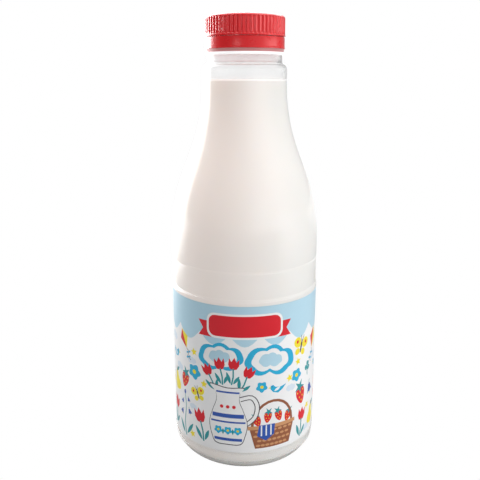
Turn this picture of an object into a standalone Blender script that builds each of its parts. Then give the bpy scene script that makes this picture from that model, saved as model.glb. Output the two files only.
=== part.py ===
"""A one-litre clear plastic milk bottle with a ribbed screw cap, full of milk.

Every piece is turned round the upright axis: the thin clear bottle with its neck, shoulder, step, label panel
and pushed-up base; the milk up to its level in the neck; the sleeve of the label; the cap with its finger ribs;
and the loose ring under the cap that shows whether the bottle was opened. The origin is on the ground under the
middle of the base, and +Z is up. Lengths are in metres.
"""

import math

import bpy

# Driving dimensions
LABEL_RADIUS = 0.04225
TOTAL_HEIGHT = 0.2508
LABEL_TOP = 0.10165
LABEL_BOTTOM = 0.0146
MILK_LEVEL = 0.2172
WALL = 0.0008
LABEL_THICKNESS = 0.00035
CAP_TOP_THICKNESS = 0.0015
GAP = 0.0003

# Body, from the shoulder down to the base
BODY_RADIUS = LABEL_RADIUS - 0.0004
BAND_RADIUS = LABEL_RADIUS - 0.00055
PANEL_RADIUS = LABEL_RADIUS - LABEL_THICKNESS - GAP
BEAD_RADIUS = LABEL_RADIUS + 0.0001
BODY_TOP = 0.1269
STEP_HEIGHT = 0.1200
GROOVE_DEPTH = 0.0004
BASE_FILLET = 0.0122
HEEL_START = -12
STANDING_RING_INNER = 0.0270
PUSH_UP = 0.0070
PUSH_UP_STEEP = (0.93, 0.70)
PUSH_UP_FLAT = (0.45, 1.00)

# Beads that guard the label's edges, as heights above its top and depths below its bottom
UPPER_BEAD_HEIGHT = 0.0022
UPPER_GROOVE_HEIGHT = 0.0033
BAND_BOTTOM_HEIGHT = 0.0040
LOWER_BEAD_DEPTH = 0.0018
LOWER_GROOVE_DEPTH = 0.0028

# Shoulder and neck
SHOULDER_TOP = 0.2171
SHOULDER_TOP_RADIUS = 0.0230
SHOULDER_TOP_PULL = 0.0403
SHOULDER_BOTTOM_PULL = 0.0445
NECK_RADIUS = 0.0202
NECK_BOTTOM = 0.2262
NECK_HOLLOW = 0.0010
COLLAR_RADIUS = 0.0030
COLLAR_START = 70
SUPPORT_RING_RADIUS = 0.02125
SUPPORT_RING_TOP = 0.2328
SUPPORT_RING_BOTTOM = 0.2313
MOUTH_RADIUS = 0.0189
MOUTH_HEIGHT = TOTAL_HEIGHT - CAP_TOP_THICKNESS - GAP
CHAMFER = 0.0003

# Cap and tamper band
CAP_BOTTOM = 0.2400
CAP_LIP_HEIGHT = 0.0007
CAP_LIP_RADIUS = 0.0218
CAP_INNER_RADIUS = 0.0200
CAP_FILLET = 0.0018
CAP_FILLET_END = 20
RIB_COUNT = 62
RIB_TIP_RADIUS = 0.0216
RIB_DEPTH = 0.0005
BAND_RING_BOTTOM = 0.2338
BAND_RING_RADIUS = 0.02146
BAND_RING_LIP = 0.0002

# How finely the turned pieces are divided: steps round the axis, and pieces along each curve outside and inside
TURN_STEPS = 52
OUTER_SHOULDER = 11
INNER_SHOULDER = 8
OUTER_HEEL = 5
INNER_HEEL = 4
OUTER_COLLAR = 3
INNER_COLLAR = 2
CAP_FILLET_PIECES = 2
MERGE_DISTANCE = 0.00001


def arc(centre, radius, start, end, count):
    """A round stretch about a centre (x, z), from one angle to another in degrees."""
    points = []
    for step in range(count + 1):
        angle = math.radians(start + (end - start) * step / count)
        points.append((centre[0] + radius * math.cos(angle), centre[1] + radius * math.sin(angle)))
    return points


def bezier(start, start_handle, end_handle, end, count):
    """A curved stretch between two points, pulled by two handles."""
    points = []
    for step in range(count + 1):
        t = step / count
        weights = ((1 - t) ** 3, 3 * t * (1 - t) ** 2, 3 * t * t * (1 - t), t ** 3)
        corners = (start, start_handle, end_handle, end)
        x = sum(weight * corner[0] for weight, corner in zip(weights, corners))
        z = sum(weight * corner[1] for weight, corner in zip(weights, corners))
        points.append((x, z))
    return points


def moved_inwards(line, distance):
    """A line that runs down the outer side, moved into the bottle at right angles to itself."""
    moved = []
    for index, (x, z) in enumerate(line):
        before = line[max(index - 1, 0)]
        after = line[min(index + 1, len(line) - 1)]
        run = (after[0] - before[0], after[1] - before[1])
        length = math.hypot(*run)
        moved.append((max(x + run[1] / length * distance, 0.0), z - run[0] / length * distance))
    moved[-1] = (0.0, line[-1][1] + distance)
    return moved


def shoulder(count):
    """The S-shaped shoulder, upright where it leaves the neck and where it meets the body."""
    return bezier(
        (SHOULDER_TOP_RADIUS, SHOULDER_TOP),
        (SHOULDER_TOP_RADIUS, SHOULDER_TOP - SHOULDER_TOP_PULL),
        (BODY_RADIUS, BODY_TOP + SHOULDER_BOTTOM_PULL),
        (BODY_RADIUS, BODY_TOP),
        count,
    )


def collar(count):
    """The round edge where the slim neck widens into the bottle."""
    centre = (SHOULDER_TOP_RADIUS - COLLAR_RADIUS, NECK_BOTTOM - COLLAR_RADIUS)
    return [(NECK_RADIUS, NECK_BOTTOM + NECK_HOLLOW)] + arc(centre, COLLAR_RADIUS, COLLAR_START, 0, count)


def base(start_angle, count):
    """The rounded heel, the flat ring that the bottle stands on, and the pushed-up middle."""
    heel = arc((BODY_RADIUS - BASE_FILLET, BASE_FILLET), BASE_FILLET, start_angle, -90, count)
    push_up = bezier(
        (STANDING_RING_INNER, 0.0),
        (STANDING_RING_INNER * PUSH_UP_STEEP[0], PUSH_UP * PUSH_UP_STEEP[1]),
        (STANDING_RING_INNER * PUSH_UP_FLAT[0], PUSH_UP * PUSH_UP_FLAT[1]),
        (0.0, PUSH_UP),
        count - 1,
    )
    return heel + push_up


def plain_side():
    """The outer side of the body without its step, grooves and beads, from the neck to the middle of the base."""
    neck = [(NECK_RADIUS, SUPPORT_RING_BOTTOM)] + collar(INNER_COLLAR)
    panel = [(PANEL_RADIUS, LABEL_TOP), (PANEL_RADIUS, LABEL_BOTTOM)]
    return neck + shoulder(INNER_SHOULDER) + panel + base(HEEL_START, INNER_HEEL)


def finished_side():
    """The outer side as it shows, from the mouth to the middle of the base."""
    mouth = [
        (MOUTH_RADIUS - CHAMFER, MOUTH_HEIGHT),
        (MOUTH_RADIUS, MOUTH_HEIGHT - CHAMFER),
        (MOUTH_RADIUS, SUPPORT_RING_TOP),
        (SUPPORT_RING_RADIUS, SUPPORT_RING_TOP - CHAMFER),
        (SUPPORT_RING_RADIUS, SUPPORT_RING_BOTTOM + CHAMFER),
        (NECK_RADIUS, SUPPORT_RING_BOTTOM),
    ]
    step = [
        (BODY_RADIUS, STEP_HEIGHT + 2 * GROOVE_DEPTH),
        (BODY_RADIUS - GROOVE_DEPTH, STEP_HEIGHT),
        (BAND_RADIUS, STEP_HEIGHT - 2 * GROOVE_DEPTH),
    ]
    upper_bead = [
        (BAND_RADIUS, LABEL_TOP + BAND_BOTTOM_HEIGHT),
        (BAND_RADIUS - GROOVE_DEPTH, LABEL_TOP + UPPER_GROOVE_HEIGHT),
        (BEAD_RADIUS, LABEL_TOP + UPPER_BEAD_HEIGHT),
        (BEAD_RADIUS, LABEL_TOP + GAP),
        (PANEL_RADIUS, LABEL_TOP + GAP),
    ]
    lower_bead = [
        (PANEL_RADIUS, LABEL_BOTTOM - GAP),
        (BEAD_RADIUS, LABEL_BOTTOM - GAP),
        (BEAD_RADIUS, LABEL_BOTTOM - LOWER_BEAD_DEPTH),
        (BODY_RADIUS - GROOVE_DEPTH, LABEL_BOTTOM - LOWER_GROOVE_DEPTH),
    ]
    neck = mouth + collar(OUTER_COLLAR)
    return neck + shoulder(OUTER_SHOULDER) + step + upper_bead + lower_bead + base(HEEL_START, OUTER_HEEL)


def bottle_profile():
    """The whole wall in section: up the inside from the middle of the base, over the mouth and down the outside."""
    bore_radius = MOUTH_RADIUS - WALL
    bore = [(bore_radius, MOUTH_HEIGHT), (bore_radius, SUPPORT_RING_TOP)]
    inside = bore + moved_inwards(plain_side(), WALL)
    return inside[::-1] + finished_side()


def milk_profile():
    """The milk fills the bottle up to its level, one gap clear of the wall."""
    side = moved_inwards(plain_side(), WALL + GAP)
    below = [(x, z) for x, z in side if z < MILK_LEVEL]
    return [(0.0, MILK_LEVEL), (below[0][0], MILK_LEVEL)] + below


def label_profile():
    """The label in section: a thin sleeve round the panel."""
    inner_radius = LABEL_RADIUS - LABEL_THICKNESS
    return [
        (LABEL_RADIUS, LABEL_TOP),
        (LABEL_RADIUS, LABEL_BOTTOM),
        (inner_radius, LABEL_BOTTOM),
        (inner_radius, LABEL_TOP),
    ]


def cap_profile():
    """The cap in section: from the middle of its top, down its ribbed skirt, and back up the inside."""
    skirt_top = TOTAL_HEIGHT - CAP_FILLET
    lip_top = CAP_BOTTOM + CAP_LIP_HEIGHT
    centre = (RIB_TIP_RADIUS - RIB_DEPTH - CAP_FILLET, skirt_top)
    fillet = arc(centre, CAP_FILLET, 90, CAP_FILLET_END, CAP_FILLET_PIECES)
    skirt = [
        (RIB_TIP_RADIUS, skirt_top),
        (RIB_TIP_RADIUS, lip_top + RIB_DEPTH),
        (CAP_LIP_RADIUS, lip_top),
        (CAP_LIP_RADIUS, CAP_BOTTOM),
    ]
    inside = [
        (CAP_INNER_RADIUS, CAP_BOTTOM),
        (CAP_INNER_RADIUS, TOTAL_HEIGHT - CAP_TOP_THICKNESS),
        (0.0, TOTAL_HEIGHT - CAP_TOP_THICKNESS),
    ]
    return [(0.0, TOTAL_HEIGHT)] + fillet + skirt + inside


def tamper_band_profile():
    """The loose ring in section, with a small lip at its lower edge."""
    top = CAP_BOTTOM - GAP
    lip_radius = BAND_RING_RADIUS + BAND_RING_LIP
    return [
        (BAND_RING_RADIUS - CHAMFER, top),
        (BAND_RING_RADIUS, top - CHAMFER),
        (BAND_RING_RADIUS, BAND_RING_BOTTOM + 3 * CHAMFER),
        (lip_radius, BAND_RING_BOTTOM + CHAMFER),
        (lip_radius, BAND_RING_BOTTOM),
        (CAP_INNER_RADIUS, BAND_RING_BOTTOM),
        (CAP_INNER_RADIUS, top),
    ]


def material(name, colour, roughness, alpha=1.0):
    """A plain Principled finish."""
    made = bpy.data.materials.new(name)
    made.use_nodes = True
    shader = made.node_tree.nodes["Principled BSDF"]
    shader.inputs["Base Color"].default_value = (*colour, 1.0)
    shader.inputs["Roughness"].default_value = roughness
    shader.inputs["Metallic"].default_value = 0.0
    shader.inputs["Alpha"].default_value = alpha
    return made


def turned(name, profile, finish, closed=False, steps=TURN_STEPS):
    """A piece turned round the upright axis from its section, in the bottle's collection."""
    edges = [(index, index + 1) for index in range(len(profile) - 1)]
    if closed:
        edges.append((len(profile) - 1, 0))
    mesh = bpy.data.meshes.new(name)
    mesh.from_pydata([(x, 0.0, z) for x, z in profile], edges, [])
    mesh.materials.append(finish)
    piece = bpy.data.objects.new(name, mesh)
    bpy.data.collections[COLLECTION].objects.link(piece)
    screw = piece.modifiers.new("Turn", "SCREW")
    screw.axis = "Z"
    screw.steps = steps
    screw.render_steps = steps
    screw.use_merge_vertices = True
    screw.merge_threshold = MERGE_DISTANCE
    return piece


def made_a_mesh(piece):
    """Fixes the modifiers of a piece into its mesh."""
    graph = bpy.context.evaluated_depsgraph_get()
    piece.data = bpy.data.meshes.new_from_object(piece.evaluated_get(graph))
    piece.modifiers.clear()


def cut_ribs(cap):
    """Draws every second row of the skirt's upright edges in, so that the others stand out as finger ribs."""
    pitch = math.tau / (2 * RIB_COUNT)
    for vertex in cap.data.vertices:
        radius = math.hypot(vertex.co.x, vertex.co.y)
        column = round(math.atan2(vertex.co.y, vertex.co.x) / pitch)
        if abs(radius - RIB_TIP_RADIUS) < MERGE_DISTANCE and column % 2:
            vertex.co.x *= (RIB_TIP_RADIUS - RIB_DEPTH) / radius
            vertex.co.y *= (RIB_TIP_RADIUS - RIB_DEPTH) / radius


COLLECTION = "milk bottle"


def main():
    for leftover in list(bpy.data.objects):
        bpy.data.objects.remove(leftover)
    bpy.context.scene.collection.children.link(bpy.data.collections.new(COLLECTION))

    clear_plastic = material("clear plastic", (0.86, 0.87, 0.87), 0.08, alpha=0.35)
    white_milk = material("milk", (0.90, 0.87, 0.82), 0.35)
    label_film = material("label film", (0.62, 0.76, 0.82), 0.30)
    red_plastic = material("red plastic", (0.62, 0.02, 0.03), 0.35)

    turned("bottle", bottle_profile(), clear_plastic)
    turned("milk", milk_profile(), white_milk)
    turned("label", label_profile(), label_film, closed=True)
    turned("tamper_band", tamper_band_profile(), red_plastic, closed=True)
    cap = turned("cap", cap_profile(), red_plastic, steps=2 * RIB_COUNT)
    made_a_mesh(cap)
    cut_ribs(cap)


main()
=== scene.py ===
# %% [markdown]
# # A one-litre bottle of milk, in cells
#
# The real thing is a thin clear plastic bottle, blown in a mould, full of milk, with a printed film round
# its lower half and a red ribbed cap. This notebook dresses a plain model of it: each cell makes one
# piece or one finish. Nearly everything on it was turned, blown or rolled round one upright axis, so most
# pieces begin as a section, a short line of points, that is spun round that axis.

import math

import bmesh
import bpy
from mathutils import Matrix, Vector


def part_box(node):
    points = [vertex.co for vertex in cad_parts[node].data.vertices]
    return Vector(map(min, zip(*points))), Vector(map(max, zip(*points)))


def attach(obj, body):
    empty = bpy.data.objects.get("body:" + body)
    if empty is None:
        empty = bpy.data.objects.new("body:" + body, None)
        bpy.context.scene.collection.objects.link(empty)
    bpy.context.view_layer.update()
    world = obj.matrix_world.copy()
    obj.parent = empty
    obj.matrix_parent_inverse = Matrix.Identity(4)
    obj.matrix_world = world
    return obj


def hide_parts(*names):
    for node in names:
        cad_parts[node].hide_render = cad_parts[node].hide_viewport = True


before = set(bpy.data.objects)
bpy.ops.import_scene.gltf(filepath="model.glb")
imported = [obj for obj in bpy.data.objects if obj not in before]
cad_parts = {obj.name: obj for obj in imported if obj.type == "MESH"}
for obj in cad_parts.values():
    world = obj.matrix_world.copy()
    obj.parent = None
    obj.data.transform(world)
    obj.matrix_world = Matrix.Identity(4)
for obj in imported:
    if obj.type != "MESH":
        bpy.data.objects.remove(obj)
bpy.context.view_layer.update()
print("plain pieces:", sorted(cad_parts))

# %% [markdown]
# ## Sizes
#
# Every size comes from the plain model's own boxes, so that the new pieces land exactly on it. Smaller
# sizes are given in millimetres beside them, because that is how a bottle maker would write them down.

# %% Read the sizes from the plain pieces
MM = 0.001
LABEL_LOW, LABEL_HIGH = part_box("label")
MILK_LOW, MILK_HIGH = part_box("milk")
CAP_LOW, CAP_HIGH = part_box("cap")
RING_LOW, RING_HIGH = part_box("tamper_band")
BOTTLE_LOW, BOTTLE_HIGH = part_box("bottle")
LABEL_RADIUS = LABEL_HIGH.x
LABEL_TALL = LABEL_HIGH.z - LABEL_LOW.z
print(f"label radius {LABEL_RADIUS / MM:.2f} mm, milk up to {MILK_HIGH.z / MM:.1f} mm")

# %% [markdown]
# ## Lines to spin
#
# A section needs only the points that its shape needs. Round stretches are arcs, and the long S of the
# shoulder is one Bezier curve: both are short formulas, which are easier to change than a list of points.

# %% Arcs, curves, points beside a place, and a line moved inwards
def arc(centre, radius, start, end, count):
    """Points on a round stretch about (radius, height), between two angles in degrees."""
    points = []
    for step in range(count + 1):
        angle = math.radians(start + (end - start) * step / count)
        points.append((centre[0] + radius * math.cos(angle), centre[1] + radius * math.sin(angle)))
    return points


def weighted(points, weights):
    """The sum of a few points, each times its own weight."""
    return tuple(sum(w * p[axis] for w, p in zip(weights, points)) for axis in (0, 1))


def curve(start, start_handle, end_handle, end, count):
    """Points on a Bezier curve."""
    corners = (start, start_handle, end_handle, end)
    points = []
    for step in range(count + 1):
        t = step / count
        weights = ((1 - t) ** 3, 3 * t * (1 - t) ** 2, 3 * t * t * (1 - t), t ** 3)
        points.append(weighted(corners, weights))
    return points


def beside(radius, height, *offsets):
    """Points of a section, given in millimetres outwards and up from one place."""
    return [(radius + out * MM, height + up * MM) for out, up in offsets]


def moved_inwards(line, depth):
    """The line at right angles inwards, for a line that runs down the outside and ends on the axis."""
    moved = []
    for index, (x, z) in enumerate(line):
        before = line[max(index - 1, 0)]
        after = line[min(index + 1, len(line) - 1)]
        run = (after[0] - before[0], after[1] - before[1])
        length = math.hypot(*run)
        moved.append((max(x + run[1] / length * depth, 0.0), z - run[0] / length * depth))
    moved[-1] = (0.0, line[-1][1] + depth)
    return moved


# %% [markdown]
# ## Spinning a section
#
# `bmesh.ops.spin` carries a row of edges round the axis and leaves faces behind it, as a lathe or a blow
# mould would. The full turn is merged where it closes, points on the axis are merged into one, and the
# normals are worked out afterwards, because a spin can come out inside out. On a double wall even that
# can fail, so the volume is measured too: it is negative on a shape that is inside out, and clear plastic
# would then bend light the wrong way.

# %% Spin helpers
SMOOTH_ANGLE = math.radians(40)
MERGE = 0.002 * MM


def show(name, mesh, finish, smooth=SMOOTH_ANGLE):
    """Turns a bmesh into an object with one finish."""
    data = bpy.data.meshes.new(name)
    mesh.to_mesh(data)
    mesh.free()
    data.materials.append(finish)
    data.shade_smooth()
    data.set_sharp_from_angle(angle=smooth)
    piece = bpy.data.objects.new(name, data)
    bpy.context.scene.collection.objects.link(piece)
    return piece


def spun(line, steps, closed=False):
    """A bmesh of a section, (radius, height) points in metres, spun round the upright axis."""
    mesh = bmesh.new()
    points = [mesh.verts.new((radius, 0.0, height)) for radius, height in line]
    edges = [mesh.edges.new(pair) for pair in zip(points, points[1:])]
    if closed:
        edges.append(mesh.edges.new((points[-1], points[0])))
    bmesh.ops.spin(
        mesh, geom=points + edges, cent=(0, 0, 0), axis=(0, 0, 1), angle=math.tau, steps=steps, use_merge=True
    )
    bmesh.ops.remove_doubles(mesh, verts=mesh.verts, dist=MERGE)
    bmesh.ops.recalc_face_normals(mesh, faces=mesh.faces)
    if mesh.calc_volume(signed=True) < 0:
        bmesh.ops.reverse_faces(mesh, faces=mesh.faces)
    return mesh


# %% [markdown]
# ## Wiring a shader
#
# A finish is a small tree of nodes. These helpers add one node each, set or link its sockets and give
# back its result, so that every finish below reads like a recipe.

# %% Helpers for shader nodes
class Wiring:
    """Adds nodes to one tree. A value is a number, a colour or another node's output."""

    def __init__(self, tree):
        self.tree = tree
        self.shader = tree.nodes.get("Principled BSDF")

    def feed(self, node, values):
        """Sets or links some of a node's sockets, given by name or by place."""
        for name, value in values.items():
            socket = node.inputs[name]
            if isinstance(value, bpy.types.NodeSocket):
                self.tree.links.new(value, socket)
            elif socket.type == "RGBA":
                socket.default_value = (*value, 1.0)
            else:
                socket.default_value = value

    def add(self, kind, values=None):
        node = self.tree.nodes.new("ShaderNode" + kind)
        self.feed(node, values or {})
        return node

    def group(self, group, values):
        node = self.add("Group")
        node.node_tree = group
        self.feed(node, values)
        return node

    def holder(self, group):
        """The node that holds a group in this tree."""
        return next(node for node in self.tree.nodes if node.type == "GROUP" and node.node_tree == group)

    def number(self, operation, *values):
        """The result of a Math node."""
        node = self.add("Math")
        node.operation = operation
        self.feed(node, dict(enumerate(values)))
        return node.outputs[0]

    def vector(self, operation, values):
        """The results of a Vector Math node."""
        node = self.add("VectorMath")
        node.operation = operation
        self.feed(node, values)
        return node.outputs

    def ranged(self, value, low, high, first=0.0, last=1.0, soft=True):
        """Turns low to high into first to last, with soft ends unless soft is false."""
        node = self.add("MapRange")
        node.interpolation_type = "SMOOTHSTEP" if soft else "LINEAR"
        self.feed(node, {"Value": value, "From Min": low, "From Max": high, "To Min": first, "To Max": last})
        return node.outputs["Result"]

    def mixed(self, share, first, second):
        """A colour between two."""
        node = self.add("Mix")
        node.data_type = "RGBA"
        self.feed(node, {"Factor": share, 6: first, 7: second})
        return node.outputs[2]

    def place(self):
        """Where a point is, in the piece's own coordinates."""
        return self.add("TexCoord").outputs["Object"]

    def height(self):
        return self.add("SeparateXYZ", {0: self.place()}).outputs["Z"]

    def noise(self, scale, detail):
        return self.add("TexNoise", {"Vector": self.place(), "Scale": scale, "Detail": detail}).outputs["Fac"]

    def surface(self, usual, other, rays, end="Material Output"):
        """Shows the usual shader, and the other one on two kinds of ray."""
        path = self.add("LightPath").outputs
        either = self.number("MAXIMUM", path[rays[0]], path[rays[1]])
        mix = self.add("MixShader", {"Fac": either, 1: usual, 2: other})
        self.feed(self.tree.nodes[end], {"Surface": mix.outputs["Shader"]})


def new_group(name, inputs, outputs):
    """An empty shader group. Its inputs come with their defaults, and its outputs with their kinds."""
    tree = bpy.data.node_groups.new(name, "ShaderNodeTree")
    for label, default in inputs.items():
        kind = "NodeSocketColor" if isinstance(default, tuple) else "NodeSocketFloat"
        tree.interface.new_socket(label, in_out="INPUT", socket_type=kind).default_value = default
    for label, kind in outputs.items():
        tree.interface.new_socket(label, in_out="OUTPUT", socket_type=kind)
    return tree, tree.nodes.new("NodeGroupInput").outputs, tree.nodes.new("NodeGroupOutput")


# %% [markdown]
# ## Surfaces are never quite even
#
# Blown and moulded plastic, printed film and a milk surface all have a faint unevenness that breaks up a
# reflection. One node group makes it for all of them: a soft noise on the piece's own coordinates, given
# out as a normal and as a roughness that wanders a little. Each finish sets its own scale and strength.

# %% Node group: uneven surface
def uneven_surface():
    inputs = {"Scale": 60.0, "Depth": 0.00005, "Roughness": 0.3, "Spread": 0.05}
    outputs = {"Roughness": "NodeSocketFloat", "Normal": "NodeSocketVector"}
    group, given, made = new_group("Uneven surface", inputs, outputs)
    wiring = Wiring(group)
    noise = wiring.noise(given["Scale"], 3.0)
    bump = wiring.add("Bump", {"Strength": 1.0, "Distance": given["Depth"], "Height": noise})
    centred = wiring.number("SUBTRACT", noise, 0.5)
    rough = wiring.number("MULTIPLY_ADD", centred, given["Spread"], given["Roughness"])
    wiring.feed(made, {"Roughness": rough, "Normal": bump.outputs["Normal"]})
    return group


UNEVEN = uneven_surface()

# %% [markdown]
# Colour is never quite even either: ink lies a little thicker here and thinner there, and moulded plastic
# shows faint flow marks. A second group mixes a colour with a darker or paler one by a cloudy mask.

# %% Node group: cloudy colour
def cloudy_colour():
    inputs = {"Colour": (0.8, 0.8, 0.8, 1.0), "Clouds": (0.7, 0.7, 0.7, 1.0), "Scale": 80.0, "Amount": 0.3}
    group, given, made = new_group("Cloudy colour", inputs, {"Colour": "NodeSocketColor"})
    wiring = Wiring(group)
    share = wiring.number("MULTIPLY", wiring.noise(given["Scale"], 4.0), given["Amount"])
    wiring.feed(made, {"Colour": wiring.mixed(share, given["Colour"], given["Clouds"])})
    return group


CLOUDY = cloudy_colour()


def finish(name, colour, clouds, roughness, scale, depth, spread=0.05, cloud_scale=80.0, cloud_amount=0.3):
    """A Principled finish whose colour is cloudy and whose surface is uneven."""
    made = bpy.data.materials.new(name)
    made.use_nodes = True
    wiring = Wiring(made.node_tree)
    numbers = {"Scale": cloud_scale, "Amount": cloud_amount}
    cloudy = wiring.group(CLOUDY, {"Colour": colour, "Clouds": clouds, **numbers})
    numbers = {"Scale": scale, "Depth": depth, "Roughness": roughness, "Spread": spread}
    uneven = wiring.group(UNEVEN, numbers).outputs
    look = {"Base Color": cloudy.outputs["Colour"], "Roughness": uneven["Roughness"]}
    wiring.feed(wiring.shader, {**look, "Normal": uneven["Normal"]})
    return made


# %% [markdown]
# ## Clear plastic
#
# The wall is polyester: colourless, glossy and a little stronger in bending light than glass. A
# Principled shader with full transmission does it. A touch of roughness stands for the ripple that
# blowing leaves. Above the milk the wall is thicker, so there it is hazier and faintly grey, and both
# change with height. Such a shader would keep the light of lamps and of the room from the milk behind it,
# so a Light Path node swaps it for a plain Transparent one on shadow rays and diffuse rays.

# %% Finish: clear plastic
POLYESTER_IOR = 1.57
WALL_TINT = (0.985, 0.99, 0.99)
WALL_ROUGH = 0.16
NECK_TINT = (0.885, 0.89, 0.89)
NECK_HAZE = 0.20
HAZE_FADE = 1.5 * MM
SHADE_RAYS = ("Is Shadow Ray", "Is Diffuse Ray")


def clear_plastic():
    made = finish("clear plastic", WALL_TINT, (0.97, 0.98, 0.98), WALL_ROUGH, 35.0, 0.00003, spread=0.02)
    wiring = Wiring(made.node_tree)
    wiring.feed(wiring.shader, {"Transmission Weight": 1.0, "IOR": POLYESTER_IOR})
    haze = wiring.ranged(wiring.height(), MILK_HIGH.z, MILK_HIGH.z + HAZE_FADE)
    rough = wiring.number("MULTIPLY_ADD", haze, NECK_HAZE - WALL_ROUGH, WALL_ROUGH)
    wiring.feed(wiring.holder(UNEVEN), {"Roughness": rough})
    wiring.feed(wiring.holder(CLOUDY), {"Colour": wiring.mixed(haze, WALL_TINT, NECK_TINT)})
    see_through = wiring.add("BsdfTransparent").outputs["BSDF"]
    wiring.surface(wiring.shader.outputs["BSDF"], see_through, SHADE_RAYS)
    return made


CLEAR = clear_plastic()

# %% [markdown]
# ## Milk
#
# Milk is opaque and white, with a faint warmth, and light goes a few millimetres into it before it comes
# back. A little subsurface scattering softens the shading the way the real milk does. Where the milk
# climbs the wall its edge is thin enough to let light through, and shows as a bright line. A painted glow
# on the topmost edge stands for that light.

# %% Finish: milk
PAINTED_EDGE_GLOW = 0.20
GLOW_START = MILK_HIGH.z - 0.3 * MM
GLOW_END = MILK_HIGH.z + 0.5 * MM
SCATTER = {"Subsurface Weight": 0.25, "Subsurface Radius": (1.0, 0.8, 0.65), "Subsurface Scale": 0.004}


def milk_finish():
    made = finish("milk", (0.90, 0.875, 0.84), (0.875, 0.85, 0.815), 0.35, 40.0, 0.00001, cloud_scale=25.0)
    wiring = Wiring(made.node_tree)
    # painted glow: a mask on the top edge of the milk, whose emission stands for light shining through the
    # thin rim
    thin = wiring.ranged(wiring.height(), GLOW_START, GLOW_END, soft=False)
    wiring.feed(wiring.shader, SCATTER)
    wiring.feed(wiring.shader, {"IOR": 1.35, "Emission Color": thin, "Emission Strength": PAINTED_EDGE_GLOW})
    return made


MILK = milk_finish()

# %% [markdown]
# ## Red plastic and printed film
#
# The cap is moulded in one red polymer with a soft gloss. The label is a thin film, white behind its
# inks, with the same gloss over print and ground, so every ink is one call with its own colour.

# %% Finishes: red plastic and film
RED = finish("red plastic", (0.74, 0.005, 0.010), (0.60, 0.003, 0.006), 0.28, 220.0, 0.00003)
RED.node_tree.nodes["Principled BSDF"].inputs["Specular IOR Level"].default_value = 0.3
THICK_INK = 0.86


def ink(name, colour):
    """A printed colour, a touch darker where the ink lies thicker."""
    darker = tuple(channel * THICK_INK for channel in colour)
    return finish("ink " + name, colour, darker, 0.32, 90.0, 0.00002, cloud_scale=160.0, cloud_amount=0.4)


FILM = ink("white ground", (0.885, 0.885, 0.89))
print("finishes:", [made.name for made in (CLEAR, MILK, RED, FILM)])

# %% [markdown]
# ## The wall of the bottle
#
# A blown bottle has a thick neck and a thin body. From the top: the mouth under the cap, a short slim
# neck, a round collar, the S of the shoulder, a fine step, a bead above and below the label, a groove and
# a foot bead, a rounded heel and a pushed-up base. The outside line has every detail; the inside line is
# the same body without them, because the thin wall hardly follows such fine grooves. The support ring
# under the cap is a piece of its own, made next.

# %% Outside line
STEPS_ROUND = 144
BODY_RADIUS = LABEL_RADIUS - 0.4 * MM
BAND_RADIUS = LABEL_RADIUS - 0.55 * MM
PANEL_RADIUS = LABEL_RADIUS - 0.25 * MM
BEAD_RADIUS = BOTTLE_HIGH.x
BEAD_GAP = 0.3 * MM
UPPER_BEAD = 0.9 * MM
LOWER_BEAD = 0.8 * MM
WALL = 0.45 * MM
NECK_WALL = 0.6 * MM
NECK_RADIUS = 20.2 * MM
NECK_BOTTOM = 226.2 * MM
MOUTH_RADIUS = 19.85 * MM
SUPPORT_RADIUS = 21.25 * MM
SUPPORT_TOP = 231.9 * MM
SUPPORT_BOTTOM = 230.8 * MM
SUPPORT_EDGE = 0.4 * MM
COLLAR_ROUND = 3.0 * MM
SHOULDER_TOP = (23.0 * MM, 217.1 * MM)
SHOULDER_PULLS = (40.3 * MM, 44.5 * MM)
BODY_TOP = 126.9 * MM
STEP = 120.0 * MM
HEEL = 12.2 * MM
FOOT_BEAD = 8.5 * MM
STANDING_INNER = 27.0 * MM
PUSH_UP = 7.0 * MM


def collar_and_shoulder():
    centre = (SHOULDER_TOP[0] - COLLAR_ROUND, NECK_BOTTOM - COLLAR_ROUND)
    collar = arc(centre, COLLAR_ROUND, 70, 0, 8)
    hollow = curve(*beside(NECK_RADIUS, NECK_BOTTOM, (0, 1.6), (0, 0.6), (0.2, 0.1)), collar[0], 4)
    shoulder = curve(
        SHOULDER_TOP,
        (SHOULDER_TOP[0], SHOULDER_TOP[1] - SHOULDER_PULLS[0]),
        (BODY_RADIUS, BODY_TOP + SHOULDER_PULLS[1]),
        (BODY_RADIUS, BODY_TOP),
        44,
    )
    return hollow[:-1] + collar + shoulder


def heel_and_base():
    heel = arc((BODY_RADIUS - HEEL, HEEL), HEEL, -12, -90, 14)
    push_up = curve(
        (STANDING_INNER, 0.0),
        (STANDING_INNER * 0.93, PUSH_UP * 0.7),
        (STANDING_INNER * 0.45, PUSH_UP),
        (0.0, PUSH_UP),
        12,
    )
    return heel + push_up


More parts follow.
